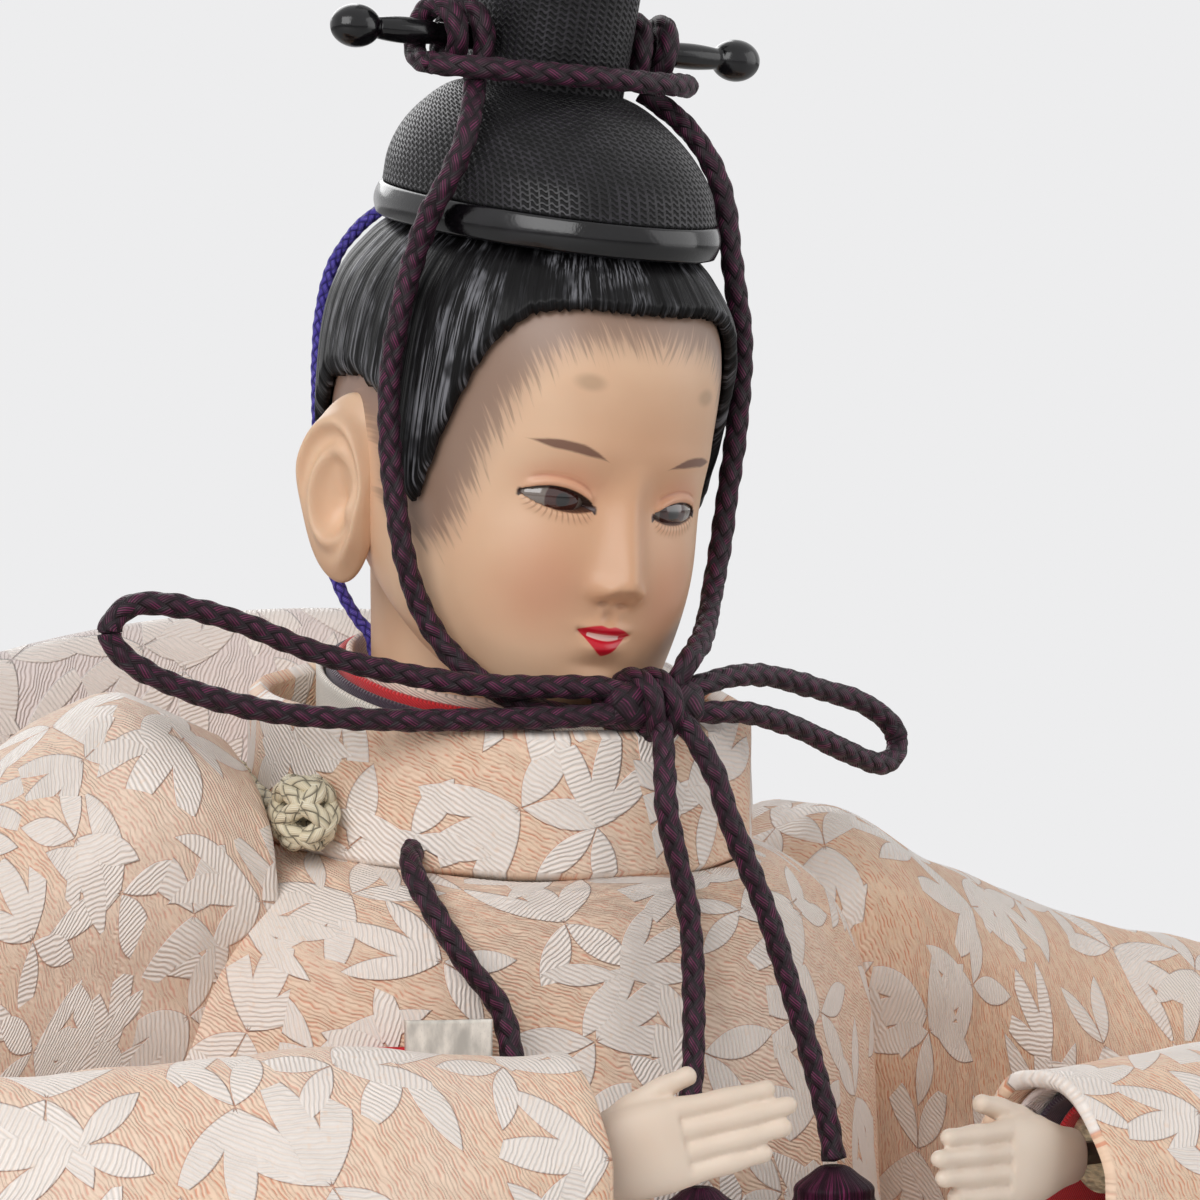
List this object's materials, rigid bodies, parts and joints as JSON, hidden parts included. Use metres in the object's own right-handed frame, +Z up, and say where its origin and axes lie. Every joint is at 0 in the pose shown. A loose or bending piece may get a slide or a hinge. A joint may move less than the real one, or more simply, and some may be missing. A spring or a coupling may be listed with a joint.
{
  "type": "seated court doll",
  "caption": "Seated festival doll in a wide-sleeved brocade robe, with a tied net-tailed crown, a turning head and turning hands.",
  "frame": {"origin": "on the seat board's flat underside, straight below the middle of the neck", "axes": "the doll faces -Y, its right hand is on the -X side, +Z is up along the neck"},
  "size_m": [0.2252, 0.1512, 0.2566],
  "materials": {
    "arm_padding_left": "wood wool bound with paper tape",
    "arm_padding_right": "wood wool bound with paper tape",
    "arm_wire": "bent iron wire",
    "bosom_paper_red": "folded red paper",
    "bosom_paper_white": "folded white paper",
    "bow_knot": "dark purple braided silk cord",
    "bow_loop_left": "dark purple braided silk cord",
    "bow_loop_right": "dark purple braided silk cord",
    "chest_cord": "dark purple braided silk cord",
    "collar_band": "stand collar of peach brocade",
    "cord_across_front": "dark purple braided silk cord",
    "cord_tail_left": "dark purple braided silk cord",
    "cord_tail_right": "dark purple braided silk cord",
    "cord_winding_left": "dark purple braided silk cord",
    "cord_winding_right": "dark purple braided silk cord",
    "crown_dome": "stiff black woven gauze",
    "crown_koji": "stiff black woven gauze",
    "crown_pin": "black lacquered turned pin",
    "crown_rim": "black lacquer",
    "crown_tail": "stiff black net in a wire frame",
    "eye_left": "dark inset glass",
    "eye_right": "dark inset glass",
    "frog_knot": "cream knotted cord",
    "frog_loop": "cream cord loop",
    "hair": "combed black silk thread",
    "hakama_left": "plain silk trouser cloth",
    "hakama_right": "plain silk trouser cloth",
    "hand_left": "ivory-coloured shell-white coat",
    "hand_right": "ivory-coloured shell-white coat",
    "head": "polished shell-white coat with a pale skin tint",
    "inner_collar_lining": "pale collar lining",
    "inner_collar_purple": "dark purple silk collar edge",
    "inner_collar_red": "red silk collar edge",
    "inner_collar_white": "white silk collar edge",
    "leg_padding_left": "wood wool bound with paper tape",
    "leg_padding_right": "wood wool bound with paper tape",
    "nape_cord": "thin blue-violet silk cord",
    "neck_peg": "whittled wood peg",
    "robe_back_fold": "pale brocade fold",
    "robe_bodice": "peach brocade with raised white leaves",
    "robe_hem_band": "folded hem of peach brocade",
    "robe_skirt": "peach brocade with raised white leaves",
    "seat_board": "planed softwood board",
    "side_cord_left": "dark purple braided silk cord",
    "side_cord_right": "dark purple braided silk cord",
    "sleeve_left": "peach brocade with raised white leaves",
    "sleeve_purple_lining_left": "dark purple silk lining",
    "sleeve_purple_lining_right": "dark purple silk lining",
    "sleeve_red_lining_left": "red silk lining",
    "sleeve_red_lining_right": "red silk lining",
    "sleeve_right": "peach brocade with raised white leaves",
    "sleeve_second_hem_left": "pale brocade hem",
    "sleeve_second_hem_right": "pale brocade hem",
    "straw_core": "tightly bound rice straw",
    "tail_socket": "black lacquer",
    "tassel_left": "dark purple silk tassel",
    "tassel_right": "dark purple silk tassel",
    "waist_belt": "black silk belt"
  },
  "bodies": {
    "trunk": {"seat_board": "seat_board", "straw_core": "straw_core", "arm_wire": "arm_wire", "arm_padding_right": "arm_padding_right", "leg_padding_right": "leg_padding_right", "hakama_right": "hakama_right", "robe_skirt": "robe_skirt", "robe_hem_band": "robe_hem_band", "waist_belt": "waist_belt", "robe_bodice": "robe_bodice", "robe_back_fold": "robe_back_fold", "sleeve_right": "sleeve_right", "sleeve_second_hem_right": "sleeve_second_hem_right", "sleeve_purple_lining_right": "sleeve_purple_lining_right", "sleeve_red_lining_right": "sleeve_red_lining_right", "collar_band": "collar_band", "inner_collar_white": "inner_collar_white", "inner_collar_purple": "inner_collar_purple", "inner_collar_red": "inner_collar_red", "inner_collar_lining": "inner_collar_lining", "frog_knot": "frog_knot", "frog_loop": "frog_loop", "bosom_paper_white": "bosom_paper_white", "bosom_paper_red": "bosom_paper_red", "chest_cord": "chest_cord", "arm_padding_left": "arm_padding_left", "leg_padding_left": "leg_padding_left", "hakama_left": "hakama_left", "sleeve_left": "sleeve_left", "sleeve_second_hem_left": "sleeve_second_hem_left", "sleeve_purple_lining_left": "sleeve_purple_lining_left", "sleeve_red_lining_left": "sleeve_red_lining_left"},
    "head": {"head": "head", "eye_right": "eye_right", "eye_left": "eye_left", "neck_peg": "neck_peg", "hair": "hair", "crown_rim": "crown_rim", "crown_dome": "crown_dome", "crown_koji": "crown_koji", "crown_pin": "crown_pin", "tail_socket": "tail_socket", "cord_winding_right": "cord_winding_right", "cord_winding_left": "cord_winding_left", "cord_across_front": "cord_across_front", "side_cord_right": "side_cord_right", "side_cord_left": "side_cord_left", "bow_knot": "bow_knot", "bow_loop_right": "bow_loop_right", "bow_loop_left": "bow_loop_left", "cord_tail_right": "cord_tail_right", "cord_tail_left": "cord_tail_left", "tassel_right": "tassel_right", "tassel_left": "tassel_left", "nape_cord": "nape_cord"},
    "right_hand": {"hand_right": "hand_right"},
    "left_hand": {"hand_left": "hand_left"},
    "crown_tail": {"crown_tail": "crown_tail"}
  },
  "joints": [
    {"name": "head_turn", "type": "hinge", "parent": "trunk", "child": "head", "pos_m": [0, 0, 0.1117], "axis": [0, 0, 1], "range_deg": [-10, 10]},
    {"name": "right_hand_turn", "type": "hinge", "parent": "trunk", "child": "right_hand", "pos_m": [-0.0275, -0.0625, 0.0915], "axis": [0.8205, -0.5242, 0.2279], "range_deg": [-20, 20]},
    {"name": "left_hand_turn", "type": "hinge", "parent": "trunk", "child": "left_hand", "pos_m": [0.029, -0.0636, 0.089], "axis": [-0.9129, -0.4048, 0.0517], "range_deg": [-20, 20]},
    {"name": "crown_tail_slide", "type": "slide", "parent": "head", "child": "crown_tail", "axis": [0.0605, -0.1305, 0.9896], "range_m": [0, 0.004]}
  ]
}
